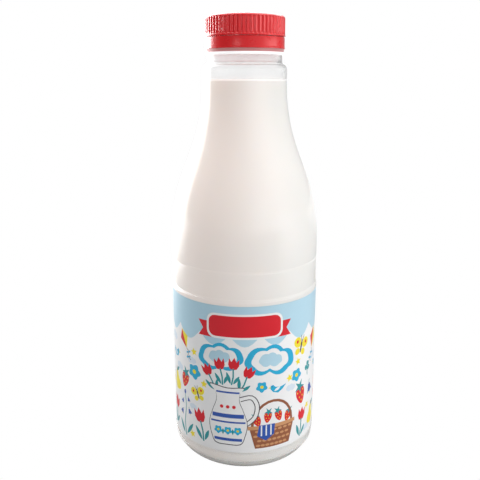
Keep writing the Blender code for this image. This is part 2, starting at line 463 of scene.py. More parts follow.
def outside_line():
    mouth = [(MOUTH_RADIUS, BOTTLE_HIGH.z), (MOUTH_RADIUS, SUPPORT_TOP)]
    mouth += beside(NECK_RADIUS, SUPPORT_TOP, (0, -0.4))
    step = beside(BODY_RADIUS, STEP, (0, 1.0), (-0.08, 0.6), (-0.55, 0.2), (-0.50, -0.1))
    step += beside(BAND_RADIUS, STEP, (-0.08, -0.8), (0, -1.3))
    top = LABEL_HIGH.z + BEAD_GAP
    upper_bead = beside(BAND_RADIUS, top, (0, 3.6), (-0.10, 3.2), (-0.45, 2.9))
    upper_bead += arc((BEAD_RADIUS - UPPER_BEAD, top + 1.4 * MM), UPPER_BEAD, 75, 0, 6)
    upper_bead += [(BEAD_RADIUS, top + 0.1 * MM), (PANEL_RADIUS, top)]
    low = LABEL_LOW.z - BEAD_GAP
    lower_bead = [(PANEL_RADIUS, low), (BEAD_RADIUS, low - 0.1 * MM)]
    lower_bead += arc((BEAD_RADIUS - LOWER_BEAD, low - LOWER_BEAD), LOWER_BEAD, 0, -70, 5)
    groove = beside(BODY_RADIUS, FOOT_BEAD, (-0.30, 2.3), (-0.42, 1.7), (-0.45, 1.2))
    foot_bead = arc((BODY_RADIUS - 0.95 * MM, FOOT_BEAD), 0.8 * MM, 60, -60, 8)
    foot = [point for point in heel_and_base() if point[0] < BODY_RADIUS - 1.2 * MM]
    return mouth + collar_and_shoulder() + step + upper_bead + lower_bead + groove + foot_bead + foot


# %% Inside line, and the wall between them
def inner_side(depth):
    """The inside of the thin body, a depth in from its plain outside, from the collar to the base."""
    panel = [(PANEL_RADIUS - 0.3 * MM, LABEL_HIGH.z), (PANEL_RADIUS - 0.3 * MM, LABEL_LOW.z)]
    return moved_inwards(collar_and_shoulder() + panel + heel_and_base(), depth)


def wall_section():
    bore = NECK_RADIUS - NECK_WALL
    thick = [(bore, BOTTLE_HIGH.z), (bore, SUPPORT_TOP - 0.4 * MM)]
    thick += beside(bore, NECK_BOTTOM, (0, 1.6), (0.25, 0.6))
    thin = [point for point in inner_side(WALL) if point[1] < NECK_BOTTOM - 0.5 * MM]
    return (thick + thin)[::-1] + outside_line()


bottle_wall = show("bottle_wall", spun(wall_section(), STEPS_ROUND), CLEAR)
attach(bottle_wall, "root")
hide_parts("bottle")
print("bottle wall:", len(bottle_wall.data.polygons), "faces")

# %% [markdown]
# ## The support ring
#
# The filling line holds the bottle by a ring of thick plastic under the cap. Light runs round inside such a
# ring and comes out at its rim, so it looks milky white beside the clear neck. It gets a pale finish with
# a painted glow that stands for that light. Above its rim it goes on up to the red ring, which is mirrored
# in it: that reflection is painted, by turning the outer side red with a dim red glow, and the share of red
# grows with height and with the reach from the axis.

# %% Support ring
# the ring's pale colour, the painted red reflection of the red ring above it, and the painted glows
PALE_RIM = (0.92, 0.87, 0.88)
RED_REFLECTION_COLOUR = (0.50, 0.09, 0.085)
PAINTED_PALE_GLOW = (0.90, 1.0, 1.0)
RED_REFLECTION_GLOW = (0.14, 0.10, 0.10)
PAINTED_GLOW_STRENGTH = 0.44
RED_REFLECTION_LOW = SUPPORT_TOP - 0.1 * MM
RED_REFLECTION_HIGH = SUPPORT_TOP + 0.4 * MM
RED_REFLECTION_OUTWARDS = NECK_RADIUS + 0.3 * MM


def rim_light_finish():
    made = finish("support ring plastic", PALE_RIM, (0.90, 0.84, 0.85), 0.4, 60.0, 0.00002)
    wiring = Wiring(made.node_tree)
    # painted reflection of the red ring: a mask that rises just above the rim and grows outwards from the
    # neck
    upwards = wiring.ranged(wiring.height(), RED_REFLECTION_LOW, RED_REFLECTION_HIGH)
    level = wiring.vector("MULTIPLY", {0: wiring.place(), 1: (1.0, 1.0, 0.0)})["Vector"]
    reach = wiring.vector("LENGTH", {0: level})["Value"]
    outwards = wiring.ranged(reach, NECK_RADIUS, RED_REFLECTION_OUTWARDS, soft=False)
    red_reflection_share = wiring.number("MULTIPLY", upwards, outwards)
    wiring.feed(wiring.holder(CLOUDY), {"Colour": wiring.mixed(red_reflection_share, PALE_RIM, RED_REFLECTION_COLOUR)})
    # painted glow: pale where light runs out of the rim, dim red where the red ring's reflection is painted
    glow = wiring.mixed(red_reflection_share, PAINTED_PALE_GLOW, RED_REFLECTION_GLOW)
    wiring.feed(wiring.shader, {"Emission Color": glow, "Emission Strength": PAINTED_GLOW_STRENGTH})
    return made


def support_section():
    inner = NECK_RADIUS - 0.3 * MM
    under_ring = RING_LOW.z - 0.05 * MM
    edge = SUPPORT_RADIUS - SUPPORT_EDGE
    top = [(inner, under_ring), (RING_HIGH.x - 0.35 * MM, under_ring)]
    rim = arc((edge, SUPPORT_TOP - SUPPORT_EDGE), SUPPORT_EDGE, 90, 0, 4)
    rim += arc((edge, SUPPORT_BOTTOM + SUPPORT_EDGE), SUPPORT_EDGE, 0, -90, 4)
    return top + rim + [(inner, SUPPORT_BOTTOM - 0.1 * MM)]


support_ring = show("support_ring", spun(support_section(), STEPS_ROUND, closed=True), rim_light_finish())
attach(support_ring, "root")

# %% [markdown]
# ## The milk inside
#
# The milk must touch the wall, or a bright air gap shows round it. Its outside is the inside of the wall,
# moved a third of the wall's thickness out, so the two overlap a little. At the top it climbs the wall by
# just under a millimetre, the small curve that a liquid makes wherever it meets a side.

# %% Milk section
CLIMB = 0.9 * MM
INTO_WALL = 0.15 * MM


def milk_section():
    level = MILK_HIGH.z
    side = [point for point in inner_side(WALL - INTO_WALL) if point[1] < level]
    rim = side[0][0]
    surface = [
        (0.0, level),
        (rim * 0.6, level),
        (rim - 2.2 * MM, level + 0.03 * MM),
        (rim - 1.2 * MM, level + 0.15 * CLIMB),
        (rim - 0.5 * MM, level + 0.45 * CLIMB),
        (rim, level + CLIMB),
    ]
    return surface + side


milk_fill = show("milk_fill", spun(milk_section(), STEPS_ROUND), MILK)
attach(milk_fill, "root")
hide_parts("milk")

# %% [markdown]
# ## The cap
#
# The cap is spun from its own section, with eight columns of points to each finger rib. The points of the
# skirt are then drawn in by a wave of their angle, so that a rib is left standing at each crest. The ribs
# end at the lip, and fade out into the rounded top edge, as they do on a moulded cap.

# %% Cap section and ribs
RIBS = 62
RIB_COLUMNS = 8
RIB_DEPTH = 0.36 * MM
RIB_RADIUS = 21.6 * MM
RIB_TOP = CAP_HIGH.z - 1.1 * MM
RIB_FADE = 0.5 * MM
RIB_POWER = 1.5
LIP_TALL = 0.7 * MM
CAP_INNER = 20.0 * MM
ROOF = 1.5 * MM
EDGE = 1.8 * MM
RECESS = 0.25 * MM
SKIRT_ROWS = 10


def cap_section():
    top = CAP_HIGH.z
    skirt_top = top - EDGE
    lip_top = CAP_LOW.z + LIP_TALL
    disc = [
        (0.0, top - RECESS),
        (RIB_RADIUS * 0.66, top - RECESS),
        (RIB_RADIUS * 0.70, top - RECESS * 0.2),
        (RIB_RADIUS * 0.72, top),
    ]
    edge = arc((RIB_RADIUS - EDGE, skirt_top), EDGE, 90, 10, 7)
    rows = [skirt_top + (lip_top - skirt_top) * row / SKIRT_ROWS for row in range(SKIRT_ROWS)]
    skirt = [(RIB_RADIUS, height) for height in rows]
    lip = beside(CAP_HIGH.x, lip_top, (-0.1, 0.1), (0, -0.1))
    lip += beside(CAP_HIGH.x, CAP_LOW.z, (0, 0.15), (-0.15, 0))
    inside = [(CAP_INNER, CAP_LOW.z), (CAP_INNER, top - ROOF), (0.0, top - ROOF)]
    return disc + edge + skirt + lip + inside


def raise_ribs(mesh):
    """Draws the skirt in between the ribs."""
    low = CAP_LOW.z + LIP_TALL - 0.05 * MM
    for point in mesh.verts:
        radius = math.hypot(point.co.x, point.co.y)
        on_skirt = RIB_RADIUS - EDGE * 0.6 < radius <= RIB_RADIUS + 0.02 * MM
        if not on_skirt or not low < point.co.z < RIB_TOP:
            continue
        angle = math.atan2(point.co.y, point.co.x)
        ridge = (0.5 + 0.5 * math.cos(RIBS * angle)) ** RIB_POWER
        fade = min(1.0, (RIB_TOP - point.co.z) / RIB_FADE)
        factor = 1 - RIB_DEPTH * (1 - ridge) * fade / radius
        point.co.x *= factor
        point.co.y *= factor


cap_mesh = spun(cap_section(), RIBS * RIB_COLUMNS)
raise_ribs(cap_mesh)
screw_cap = show("screw_cap", cap_mesh, RED)
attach(screw_cap, "root")
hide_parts("cap")
print("cap:", len(screw_cap.data.polygons), "faces,", RIBS, "ribs")

# %% [markdown]
# ## The ring under the cap
#
# The ring hangs from the cap by small bridges that snap on first opening, so only a dark line shows
# between them. It has a thin lip at its lower edge, which catches the light.

# %% Ring and its bridges
RING_STEPS = 192
BRIDGES = 12
BRIDGE_RADIUS = 20.6 * MM
BRIDGE_DEEP = 0.5 * MM
BRIDGE_WIDE = 1.0 * MM
BRIDGE_OVERLAP = 0.3 * MM


def ring_section():
    outer = RING_HIGH.x - 0.2 * MM
    top, low = RING_HIGH.z, RING_LOW.z
    side = beside(outer, top, (-0.25, 0), (-0.07, -0.08), (0, -0.25))
    side += beside(outer, low, (0, 1.1), (0.05, 0.8))
    lip = beside(RING_HIGH.x, low, (0, 0.45), (0, 0.1), (-0.12, 0))
    return side + lip + [(CAP_INNER, low), (CAP_INNER, top)]


ring_mesh = spun(ring_section(), RING_STEPS, closed=True)
gap = CAP_LOW.z - RING_HIGH.z
for bridge in range(BRIDGES):
    size = Matrix.Diagonal((BRIDGE_DEEP, BRIDGE_WIDE, gap + BRIDGE_OVERLAP, 1.0))
    place = Matrix.Translation((BRIDGE_RADIUS, 0.0, RING_HIGH.z + gap / 2))
    turn = Matrix.Rotation(math.tau * (bridge + 0.5) / BRIDGES, 4, "Z")
    bmesh.ops.create_cube(ring_mesh, size=1.0, matrix=turn @ place @ size)
opening_ring = show("opening_ring", ring_mesh, RED)
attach(opening_ring, "root")
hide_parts("tamper_band")

# %% [markdown]
# ## The film of the label
#
# The label is a sleeve of film glued at the back. Its columns stand every 1.5 degrees, and every printed
# shape below is cut along the same columns, so that print and film curve alike and never poke through
# each other.

# %% Film sleeve
COLUMNS = 240
FILM_RADIUS = LABEL_RADIUS - 0.06 * MM
FILM_THICK = 0.12 * MM
ROUND = math.tau * LABEL_RADIUS


def film_section():
    inner = FILM_RADIUS - FILM_THICK
    low, high = LABEL_LOW.z, LABEL_HIGH.z
    return [(FILM_RADIUS, high), (FILM_RADIUS, low), (inner, low), (inner, high)]


label_film = show("label_film", spun(film_section(), COLUMNS, closed=True), FILM)
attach(label_film, "root")
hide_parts("label")

# %% [markdown]
# ## Printing by stacking
#
# The print is drawn flat, in millimetres: across from the middle of the front, and up from the label's
# lower edge. Each ink is one piece. Its shapes are flat faces from circles and short outlines; they are
# cut along the film's columns, given a hair of thickness, and rolled round the bottle. Shapes drawn on
# top of others sit on a higher level, eight thousandths of a millimetre up, which no one can see but
# which keeps the inks from fighting.

# %% Flat shapes
LEVEL = 0.008 * MM
FIRST_LEVEL = 0.006 * MM
SUNK = 0.008 * MM


class Ink:
    """The flat shapes of one colour, each with the level that it lies on."""

    def __init__(self, name, colour):
        self.name = name
        self.colour = colour
        self.mesh = bmesh.new()
        self.level = self.mesh.verts.layers.int.new("level")

    def blob(self, at, size, turn=0.0, level=1, sides=18, taper=0.0, sharp=0.0):
        """An ellipse. taper narrows its upper end, and sharp draws both ends to a point, as on a leaf."""
        made = bmesh.ops.create_circle(self.mesh, cap_ends=True, radius=1.0, segments=sides)["verts"]
        for point in made:
            across, up = point.co.x, point.co.y
            across *= (1 - taper * (up + 1) / 2) * (1 - sharp * abs(up))
            point.co = (across * size[0] / 2, 0.0, up * size[1] / 2)
        self.put(made, at, turn, level)

    def outline(self, points, at=(0, 0), turn=0.0, level=1, corner=0.0, grow=1.0):
        """A face from a short outline, with its corners rounded by a bevel."""
        made = [self.mesh.verts.new((x * grow, 0.0, y * grow)) for x, y in points]
        self.mesh.faces.new(made)
        if corner:
            made = bmesh.ops.bevel(
                self.mesh, geom=made, offset=corner, affect="VERTICES", segments=4, profile=0.5, material=-1
            )["verts"]
        self.put(made, at, turn, level)

    def stroke(self, points, width, at=(0, 0), turn=0.0, level=1, thin=1.0):
        """A line of some width along points; thin is the share of the width that is left at its end."""
        rows = []
        for index, (x, y) in enumerate(points):
            before, after = points[max(index - 1, 0)], points[min(index + 1, len(points) - 1)]
            run = Vector((after[0] - before[0], after[1] - before[1])).normalized()
            half = width / 2 * (1 + (thin - 1) * index / (len(points) - 1))
            side = Vector((-run.y, run.x)) * half
            rows.append([self.mesh.verts.new((x + s * side.x, 0.0, y + s * side.y)) for s in (-1, 1)])
        for low, high in zip(rows, rows[1:]):
            self.mesh.faces.new((low[0], low[1], high[1], high[0]))
        self.put([point for row in rows for point in row], at, turn, level)

    def put(self, points, at, turn, level):
        turned = Matrix.Rotation(-math.radians(turn), 3, "Y")
        bmesh.ops.rotate(self.mesh, verts=points, cent=(0, 0, 0), matrix=turned)
        bmesh.ops.translate(self.mesh, verts=points, vec=(at[0], 0.0, at[1]))
        for point in points:
            point[self.level] = level


# %% Rolling the print round the bottle
def faces_across(mesh, x):
    """The faces that a column's line crosses, with their edges and corners."""
    faces = []
    for face in mesh.faces:
        places = [corner.co.x for corner in face.verts]
        if min(places) < x < max(places):
            faces.append(face)
    edges = {edge for face in faces for edge in face.edges}
    corners = {corner for face in faces for corner in face.verts}
    return faces + list(edges) + list(corners)


def roll(ink_shapes):
    """Cuts the shapes along the film's columns, thickens and wraps them, and shows them as one piece."""
    mesh, level = ink_shapes.mesh, ink_shapes.level
    bmesh.ops.scale(mesh, vec=(MM, MM, MM), verts=mesh.verts)
    column = ROUND / COLUMNS
    reach = max(abs(point.co.x) for point in mesh.verts)
    count = math.ceil(reach / column)
    for step in range(-count, count + 1):
        crossed = faces_across(mesh, step * column)
        if crossed:
            bmesh.ops.bisect_plane(
                mesh, geom=crossed, dist=1e-7, plane_co=(step * column, 0, 0), plane_no=(1, 0, 0)
            )
    made = bmesh.ops.extrude_face_region(mesh, geom=list(mesh.faces), use_keep_orig=True)
    tops = {item for item in made["geom"] if isinstance(item, bmesh.types.BMVert)}
    for point in mesh.verts:
        up = FIRST_LEVEL + LEVEL * point[level] if point in tops else -SUNK
        angle = point.co.x / LABEL_RADIUS
        radius = FILM_RADIUS + up
        point.co = (radius * math.sin(angle), -radius * math.cos(angle), LABEL_LOW.z + point.co.z)
    bmesh.ops.recalc_face_normals(mesh, faces=mesh.faces)
    piece = show("print_" + ink_shapes.name, mesh, ink(ink_shapes.name, ink_shapes.colour))
    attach(piece, "root")
    print("ink", ink_shapes.name, len(piece.data.polygons), "faces")
    return piece


# %% [markdown]
# ## Inks
#
# A print shop mixes a few inks and repeats them. These are a pale sky blue, a warm red, cyan, teal, a
# lemon yellow, a royal blue, a brown with a lighter one for its weave, a dark line colour, a paper white
# and a very pale tint.

# %% Mix the inks
SKY = Ink("pale_blue", (0.46, 0.68, 0.80))
TINT = Ink("pale_tint", (0.68, 0.77, 0.86))
WHITE = Ink("paper_white", (0.88, 0.88, 0.88))
RED_INK = Ink("red", (0.70, 0.010, 0.022))
CYAN = Ink("cyan", (0.020, 0.42, 0.68))
TEAL = Ink("teal", (0.020, 0.30, 0.33))
YELLOW = Ink("yellow", (0.88, 0.74, 0.030))
ROYAL = Ink("royal_blue", (0.030, 0.095, 0.42))
BROWN = Ink("brown", (0.30, 0.105, 0.050))
STRAW = Ink("straw", (0.60, 0.30, 0.14))
DARK = Ink("dark_line", (0.040, 0.035, 0.050))
INKS = (SKY, TINT, WHITE, RED_INK, CYAN, TEAL, YELLOW, ROYAL, BROWN, STRAW, DARK)

# %% [markdown]
# ## Outlines for the motifs
#
# Clouds, blossoms and scalloped edges are all one idea: a plain polygon whose sides swell into arcs. A
# motif is drawn about its own middle at size one, and a seat turns its points into places on the label.

# %% Helpers for outlines
def swollen(corners, bulge, count=5):
    """An outline whose sides swell outwards into arcs, for corners that run against the clock."""
    points = []
    for (x0, y0), (x1, y1) in zip(corners, corners[1:] + corners[:1]):
        for step in range(count):
            t = step / count
            lift = bulge * 4 * t * (1 - t)
            points.append((x0 + (x1 - x0) * t + (y1 - y0) * lift, y0 + (y1 - y0) * t - (x1 - x0) * lift))
    return points


def curvy(points, closed=True, count=4):
    """A smooth line through a few points, as a bent wire would take."""
    total = len(points)
    made = []
    for index in range(total if closed else total - 1):
        around = range(index - 1, index + 3)
        if closed:
            near = [points[place % total] for place in around]
        else:
            near = [points[min(max(place, 0), total - 1)] for place in around]
        for step in range(count):
            t = step / count
            start, end = -t + 2 * t * t - t ** 3, t ** 3 - t * t
            x, y = weighted(near, (start, 2 - 5 * t * t + 3 * t ** 3, t + 4 * t * t - 3 * t ** 3, end))
            made.append((x / 2, y / 2))
    return made if closed else made + [points[-1]]


def ring_of(count, radius=0.5, inner=None, start=90.0):
    """Corners of a regular polygon, or of a star where an inner radius is given."""
    radii = [radius] if inner is None else [radius, inner]
    total = count * len(radii)
    corners = []
    for step in range(total):
        angle = math.radians(start + 360 * step / total)
        reach = radii[step % len(radii)]
        corners.append((reach * math.cos(angle), reach * math.sin(angle)))
    return corners


def rectangle(left, low, right, high):
    return [(left, low), (right, low), (right, high), (left, high)]


class Seat:
    """A motif's place on the label. Points and sizes are shares of the motif's own size."""

    def __init__(self, at, size, turn=0, level=1):
        self.at = at
        self.size = size
        self.turn = turn
        self.level = level

    def spot(self, x, y):
        """A point of the motif as a place on the label, in millimetres."""
        cosine, sine = math.cos(math.radians(self.turn)), math.sin(math.radians(self.turn))
        across = self.at[0] + self.size * (x * cosine - y * sine)
        return across, self.at[1] + self.size * (x * sine + y * cosine)

    def blob(self, fill, x, y, wide, tall, turn=0, above=0, **shape):
        """An ellipse of an ink, a number of levels above the motif's own."""
        size = (self.size * wide, self.size * tall)
        fill.blob(self.spot(x, y), size, self.turn + turn, self.level + above, **shape)

    def shape(self, fill, points, x=0, y=0, turn=0, above=0, grow=1.0):
        fill.outline(points, self.spot(x, y), self.turn + turn, self.level + above, grow=self.size * grow)

    def line(self, fill, points, width, above=0, bent=False, thin=1.0):
        """A stroke of an ink through points, or along a smooth line through them."""
        spots = [self.spot(x, y) for x, y in points]
        spots = curvy(spots, closed=False) if bent else spots
        fill.stroke(spots, self.size * width, level=self.level + above, thin=thin)


# %% Small motifs: flowers and leaves
CUP = [
    (0, -0.20), (0.12, -0.16), (0.19, -0.02), (0.18, 0.22), (0.09, 0.09),
    (0, 0.26), (-0.09, 0.09), (-0.18, 0.22), (-0.19, -0.02), (-0.12, -0.16),
]
BELL = [
    (-0.32, -0.24), (-0.14, -0.16), (0, -0.26), (0.14, -0.16), (0.32, -0.24),
    (0.20, 0.02), (0.12, 0.28), (-0.12, 0.28), (-0.20, 0.02),
]
FIVE_PETALS = swollen(ring_of(5, 0.36), 0.46, 6)
CLOVER_LEAF = swollen([(0, 0.02), (0.16, 0.22), (0.0, 0.30), (-0.16, 0.22)], 0.22, 4)


def tulip(at, size, turn=0, petals=RED_INK, level=1):
    seat = Seat(at, size, turn, level)
    seat.line(TEAL, [(0, -0.5), (0.03, -0.2), (0, 0.12)], 0.05, above=1)
    seat.blob(TEAL, -0.13, -0.26, 0.13, 0.44, 24, sharp=0.4)
    seat.blob(TEAL, 0.15, -0.30, 0.12, 0.36, -30, sharp=0.4)
    seat.shape(petals, CUP, 0, 0.26)


def bell_flower(at, size, turn=0, level=1):
    seat = Seat(at, size, turn, level)
    seat.line(TEAL, [(0.10, 0.50), (0.03, 0.42), (0, 0.28)], 0.05)
    seat.shape(ROYAL, BELL)
    YELLOW.blob(seat.spot(0, -0.32), (size * 0.12, size * 0.12), level=level, sides=10)


def blossom(at, size, turn=0, level=1):
    CYAN.outline(FIVE_PETALS, at, turn, level, grow=size)
    YELLOW.blob(at, (size * 0.28, size * 0.28), level=level + 1, sides=12)


def clover(at, size, turn=0, level=1):
    seat = Seat(at, size, turn, level)
    for lean in (0, 120, 240):
        seat.shape(TEAL, CLOVER_LEAF, 0, 0.06, lean)
    seat.line(TEAL, [(0.01, 0.0), (0.05, -0.28), (0.14, -0.5)], 0.06, above=1)


def star(at, size, turn=0):
    YELLOW.outline(ring_of(5, 0.5, 0.23), at, turn, grow=size)


# %% Small motifs: fruit, butterflies, birds, kites and clouds
SEEDS = ((-0.18, 0.10), (0.0, 0.06), (0.18, 0.10), (-0.10, -0.14), (0.10, -0.14), (0.0, -0.32))
PEAR = curvy([
    (0, 0.36), (-0.13, 0.28), (-0.17, 0.06), (-0.31, -0.18), (-0.24, -0.43),
    (0, -0.48), (0.24, -0.43), (0.31, -0.18), (0.17, 0.06), (0.13, 0.28),
])
BIRD = [
    (-0.50, 0.16), (-0.30, -0.06), (-0.06, -0.20), (0.20, -0.12), (0.34, 0.06),
    (0.32, 0.20), (0.20, 0.24), (0.08, 0.12), (-0.20, 0.08),
]
BEAK = [(0.33, 0.16), (0.46, 0.12), (0.33, 0.07)]
CLOUD = swollen([
    (-0.40, -0.20), (0.0, -0.24), (0.40, -0.20), (0.50, 0.0), (0.24, 0.18), (-0.12, 0.22), (-0.46, 0.02),
], 0.24, 6)
SPIKE_BELLS = (
    (-0.13, -0.02, 0.20, -24), (0.15, 0.07, 0.20, 24), (-0.10, 0.22, 0.17, -20), (0.12, 0.32, 0.15, 20),
)


def strawberry(at, size, turn=0, level=1):
    seat = Seat(at, size, turn, level)
    seat.blob(RED_INK, 0, -0.06, 0.72, 0.84, 180, sides=22, taper=0.5)
    seat.shape(TEAL, ring_of(5, 0.34, 0.12, 270), 0, 0.34, above=1)
    for x, y in SEEDS:
        seat.blob(YELLOW, x, y, 0.055, 0.09, above=1, sides=8)


def pear(at, size, turn=0):
    seat = Seat(at, size, turn)
    seat.shape(YELLOW, PEAR)
    seat.line(BROWN, [(0, 0.30), (0.04, 0.5)], 0.06, above=1)
    seat.blob(TEAL, 0.19, 0.42, 0.15, 0.36, -62, above=2, sharp=0.4)


def butterfly(at, size, turn=0):
    seat = Seat(at, size, turn)
    for side in (-1, 1):
        seat.blob(YELLOW, 0.25 * side, 0.15, 0.36, 0.46, -42 * side, taper=-0.3)
        seat.blob(YELLOW, 0.18 * side, -0.22, 0.26, 0.30, 30 * side, above=1)
        seat.blob(RED_INK, 0.28 * side, 0.18, 0.12, 0.15, above=1, sides=10)
        seat.line(DARK, [(0.02 * side, 0.22), (0.10 * side, 0.46)], 0.025, above=2)
    seat.blob(DARK, 0, 0, 0.09, 0.56, above=2, sides=12)


def bird(at, size, facing=1):
    """A bird that looks to the right, or to the left where facing is -1."""
    seat = Seat(at, size)
    seat.shape(CYAN, [(facing * x, y) for x, y in BIRD])
    seat.blob(WHITE, -0.02 * facing, 0.0, 0.14, 0.34, 64 * facing, above=1, sharp=0.3)
    seat.shape(YELLOW, [(facing * x, y) for x, y in BEAK], above=1)
    seat.blob(DARK, 0.24 * facing, 0.15, 0.05, 0.05, above=1, sides=8)


def kite(at, size, turn=0):
    seat = Seat(at, size, turn)
    seat.shape(RED_INK, [(0, 0.5), (-0.27, 0.16), (0, -0.26)])
    seat.shape(YELLOW, [(0, 0.5), (0, -0.26), (0.27, 0.16)])
    seat.line(DARK, [(0, -0.26), (0.08, -0.40), (-0.06, -0.56), (0.06, -0.74)], 0.025, above=1)
    for x, y in ((0.05, -0.42), (-0.03, -0.60)):
        for side in (-1, 1):
            seat.blob(CYAN, x + 0.07 * side, y, 0.12, 0.08, sides=10)


def cloud(at, size, turn):
    for step, (fill, share) in enumerate(((CYAN, 1.0), (WHITE, 0.74), (SKY, 0.46))):
        fill.outline(CLOUD, at, turn, 1 + step, grow=size * share)


def flower_spike(at, size):
    """A tall stem of bell flowers with two leaves at its foot."""
    seat = Seat(at, size)
    stem = [(0.02, -0.5), (-0.02, -0.2), (0.03, 0.15), (0.0, 0.42)]
    seat.line(TEAL, stem, 0.028, above=1, bent=True, thin=0.5)
    seat.blob(TEAL, -0.12, -0.34, 0.085, 0.30, 32, sharp=0.4)
    seat.blob(TEAL, 0.15, -0.30, 0.085, 0.34, -34, sharp=0.4)
    for x, y, share, turn in SPIKE_BELLS:
        bell_flower(seat.spot(x, y), size * share, turn)
    seat.blob(ROYAL, 0.0, 0.46, 0.06, 0.10)


# %% [markdown]
# ## The still life in the middle
#
# The front needs two large masses at eye level. A striped jug of tulips and a wicker basket of
# strawberries carry the label's blue, white, red and brown. The jug is drawn as a dark shape with a
# slightly smaller light one on top, which leaves an outline.

# %% Jug and basket
JUG = curvy([
    (0.0, -0.50), (0.20, -0.49), (0.27, -0.36), (0.31, -0.14), (0.25, 0.08), (0.185, 0.26),
    (0.20, 0.40), (0.25, 0.49), (0.0, 0.48), (-0.29, 0.52), (-0.20, 0.40), (-0.185, 0.26),
    (-0.25, 0.08), (-0.31, -0.14), (-0.27, -0.36), (-0.20, -0.49),
])
HANDLE = [(0.20, 0.30), (0.38, 0.33), (0.47, 0.18), (0.43, -0.02), (0.27, -0.16)]
JUG_BANDS = ((0.41, 0.38, 0.03), (0.00, 0.52, 0.07), (-0.11, 0.57, 0.03), (-0.42, 0.46, 0.05))
CLOTH = [(-0.30, 0.11), (-0.34, -0.12), (-0.16, -0.24), (0.02, -0.12), (0.04, 0.11)]
WEAVE = 7


def jug(at, size, level):
    seat = Seat(at, size, 0, level)
    seat.line(DARK, HANDLE, 0.085, bent=True)
    seat.line(WHITE, HANDLE, 0.055, above=1, bent=True)
    seat.shape(DARK, JUG, above=1, grow=1.03)
    seat.shape(WHITE, JUG, above=2)
    for height, wide, tall in JUG_BANDS:
        seat.shape(ROYAL, rectangle(-wide / 2, -tall / 2, wide / 2, tall / 2), 0, height, above=3)
    for x in (-0.16, 0.0, 0.16):
        blossom(seat.spot(x, -0.26), size * 0.15, 0, level + 3)
    for x in (-0.08, 0.08):
        seat.blob(TEAL, x, -0.28, 0.035, 0.10, above=3, sharp=0.3)
    for x in (-0.10, 0.0, 0.10):
        seat.blob(RED_INK, x, 0.16, 0.06, 0.06, above=3, sides=12)


def basket(at, size, level):
    seat = Seat(at, size, 0, level)
    angles = [math.radians(step) for step in range(0, 181, 15)]
    seat.line(BROWN, [(0.44 * math.cos(a), 0.10 + 0.52 * math.sin(a)) for a in angles], 0.055)
    seat.shape(BROWN, [(-0.38, -0.40), (0.38, -0.40), (0.50, 0.06), (-0.50, 0.06)], above=1)
    for row in range(4):
        half = 0.37 + 0.03 * row
        for step in range(WEAVE):
            x = -half + (step + 0.5 + 0.5 * (row % 2)) * 2 * half / (WEAVE + 0.5)
            seat.blob(STRAW, x, -0.34 + 0.105 * row, 0.095, 0.055, above=2, sides=10)
    seat.shape(STRAW, rectangle(-0.53, 0.02, 0.53, 0.10), above=3)
    seat.shape(ROYAL, CLOTH, above=4)
    for x in (-0.25, -0.15, -0.05):
        left, right = x - 0.014, x + 0.014
        seat.shape(WHITE, [(left, 0.10), (left, -0.13), (right, -0.13), (right, 0.10)], above=5)


# %% [markdown]
# ## Laying out the label
#
# A scalloped pale field runs round the top like an awning. A bare red ribbon with a white rim hangs in
# it, where a pack would carry its name. Clouds fill the middle, the still life stands below them, and
# small motifs are strewn round the rest, each turned a little, so that no two neighbours match.

# %% Awning and ribbon
HALF_ROUND = ROUND / MM / 2
LABEL_TOP_MM = LABEL_TALL / MM
SCALLOPS = 15
HEM_AT = 70.5
HEM_DROP = 6.5
STEPS_EACH = 8
SEAM = 1.5
PLATE_AT = (0, 75.5)
right = HALF_ROUND - SEAM
left = -right
hem = []
for step in range(SCALLOPS * STEPS_EACH + 1):
    swing = abs(math.sin(math.pi * step / STEPS_EACH))
    hem.append((left + (right - left) * step / (SCALLOPS * STEPS_EACH), HEM_AT - HEM_DROP * swing))
SKY.outline(hem + [(right, LABEL_TOP_MM), (left, LABEL_TOP_MM)], level=0)

for side in (-1, 1):
    tail = [(17, 3.5), (27, 3.5), (24, -1.0), (27, -5.5), (17, -5.5)]
    RED_INK.outline([(side * x, y) for x, y in tail], (0, 74.0), 0, 1)
WHITE.outline(rectangle(-21.5, -7.2, 21.5, 7.2), PLATE_AT, 0, 2, corner=4.5)
RED_INK.outline(rectangle(-20.3, -6.0, 20.3, 6.0), PLATE_AT, 0, 3, corner=3.8)

# %% Front: clouds and still life
cloud((-14.5, 58.0), 27.0, 4)
cloud((14.5, 56.0), 30.0, -5)
jug((-9.5, 22.5), 35.0, 5)
for lean, x, y in ((24, -20.0, 44.5), (8, -13.5, 49.0), (-6, -6.5, 49.5), (-24, 0.5, 45.0)):
    tulip((x, y), 16.0, lean, RED_INK, 4)
basket((16.5, 13.5), 28.0, 4)
for x, y, turn in ((6.8, 19.8, 20), (13.2, 21.6, -8), (19.8, 21.4, 14), (26.2, 19.8, -20)):
    strawberry((x, y), 8.2, turn, 2)

